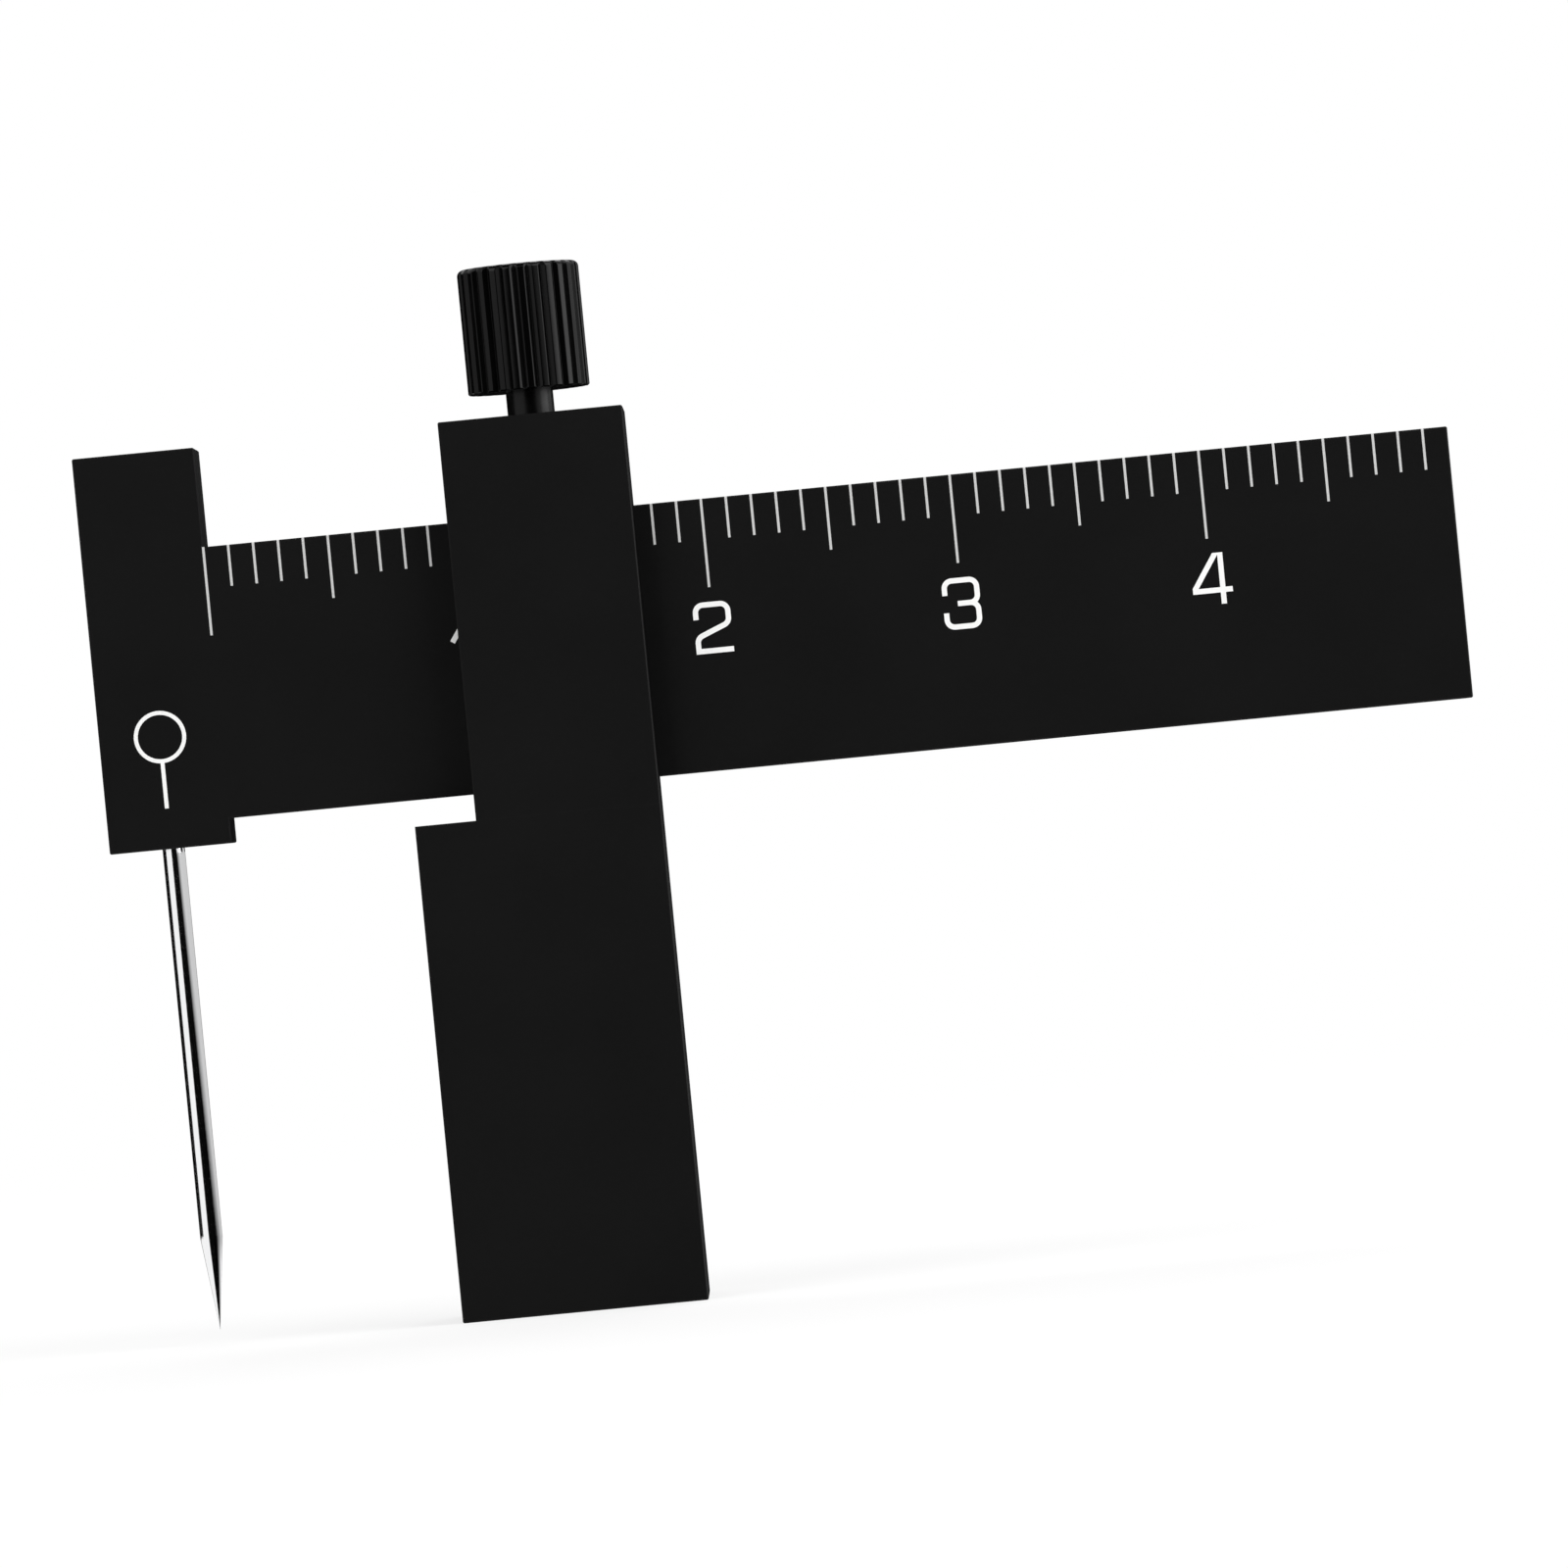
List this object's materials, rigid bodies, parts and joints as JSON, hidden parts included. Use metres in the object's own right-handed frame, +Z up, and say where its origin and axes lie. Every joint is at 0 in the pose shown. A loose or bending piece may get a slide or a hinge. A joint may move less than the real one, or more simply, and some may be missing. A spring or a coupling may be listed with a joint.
{
  "type": "parallel scriber",
  "caption": "Small parallel scriber: a graduated bar with a needle in its head, and a fence on a slider that runs along the bar and is clamped by a knurled thumb screw.",
  "frame": {"origin": "on the needle's axis, level with the underside of the head", "axes": "+X along the bar away from the needle, so that the fence's guide face stands at x equal to the reading; +Y to the back; +Z up, from the needle's point towards the knob"},
  "size_m": [0.055, 0.007, 0.042],
  "materials": {
    "black_anodised": "satin black anodised aluminium",
    "black_knob": "semi-gloss black anodised aluminium",
    "white_paint": "white paint filled into engraved marks",
    "polished_steel": "polished hard steel",
    "black_oxide": "black oxide on steel",
    "ground_steel": "ground steel",
    "brass": "turned brass"
  },
  "bodies": {
    "bar": {"bar": "black_anodised", "scale_ticks": "white_paint", "scale_numerals": "white_paint", "ring_mark": "white_paint"},
    "needle": {"needle": "polished_steel"},
    "needle_set_screw": {"needle_set_screw": "black_oxide"},
    "slider": {"slider": "black_anodised", "fence": "black_anodised", "fence_screw": "black_oxide", "fence_dowels": "ground_steel"},
    "clamp_shoe": {"clamp_shoe": "brass"},
    "thumb_screw": {"clamp_screw": "black_oxide", "clamp_knob": "black_knob"}
  },
  "joints": [
    {"name": "slider_slide", "type": "slide", "parent": "bar", "child": "slider", "axis": [1, 0, 0], "range_m": [-0.00935, 0.0327]},
    {"name": "clamp_lift", "type": "slide", "parent": "slider", "child": "clamp_shoe", "axis": [0, 0, 1], "range_m": [0, 0.0006]},
    {"name": "clamp_turn", "type": "hinge", "parent": "clamp_shoe", "child": "thumb_screw", "pos_m": [0.016, 0, 0.01695], "axis": [0, 0, 1], "range_deg": [0, 540]},
    {"name": "needle_slide", "type": "slide", "parent": "bar", "child": "needle", "axis": [0, 0, -1], "range_m": [-0.0025, 0.0005]},
    {"name": "set_screw_turn", "type": "hinge", "parent": "bar", "child": "needle_set_screw", "pos_m": [-0.0014, 0, 0.007], "axis": [-1, 0, 0], "range_deg": [0, 360]}
  ],
  "couplings": [
    {"joint": "clamp_turn", "follows": "clamp_lift", "rad_per_m": 15708}
  ]
}
